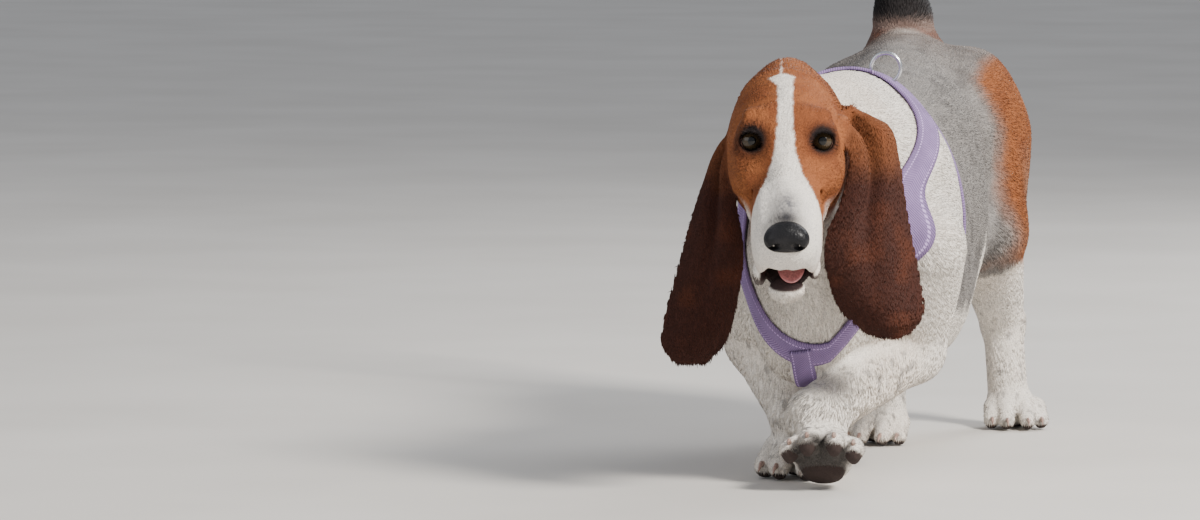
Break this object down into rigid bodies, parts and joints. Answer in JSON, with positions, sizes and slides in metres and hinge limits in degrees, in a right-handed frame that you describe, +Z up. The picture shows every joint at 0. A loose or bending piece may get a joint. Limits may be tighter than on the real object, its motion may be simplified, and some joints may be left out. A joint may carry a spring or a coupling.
{
  "type": "basset hound model",
  "caption": "Still, life-size basset hound in mid-stride: long ears, white blaze, grey saddle, tan head and thighs, and a plain lilac walking harness.",
  "frame": {"origin": "middle of the model's footprint, on the floor that it stands on", "axes": "+Z up, +Y from the head to the tail, +X towards the dog's left side"},
  "size_m": [0.2876, 0.8194, 0.6487],
  "materials": {
    "white_coat": "matt",
    "tan_coat": "matt",
    "grey_coat": "matt",
    "black_coat": "matt",
    "ear_coat": "matt",
    "nose_leather": "satin",
    "eye": "gloss",
    "tongue": "satin",
    "webbing": "matt",
    "metal": "satin"
  },
  "bodies": {
    "root": {"head": "tan_coat", "lower_jaw": "white_coat", "tongue": "tongue", "nose": "nose_leather", "eye_left": "eye", "eye_right": "eye", "ear_left": "ear_coat", "ear_right": "ear_coat", "neck": "white_coat", "torso": "grey_coat", "tail": "black_coat", "fore_left_leg": "white_coat", "fore_left_paw": "white_coat", "fore_right_leg": "white_coat", "fore_right_paw": "white_coat", "hind_left_leg": "white_coat", "hind_left_paw": "white_coat", "hind_right_leg": "white_coat", "hind_right_paw": "white_coat", "harness_neck_strap": "webbing", "harness_girth_strap": "webbing", "harness_sternum_strap": "webbing", "harness_back_strap": "webbing", "harness_ring": "metal"}
  },
  "joints": []
}
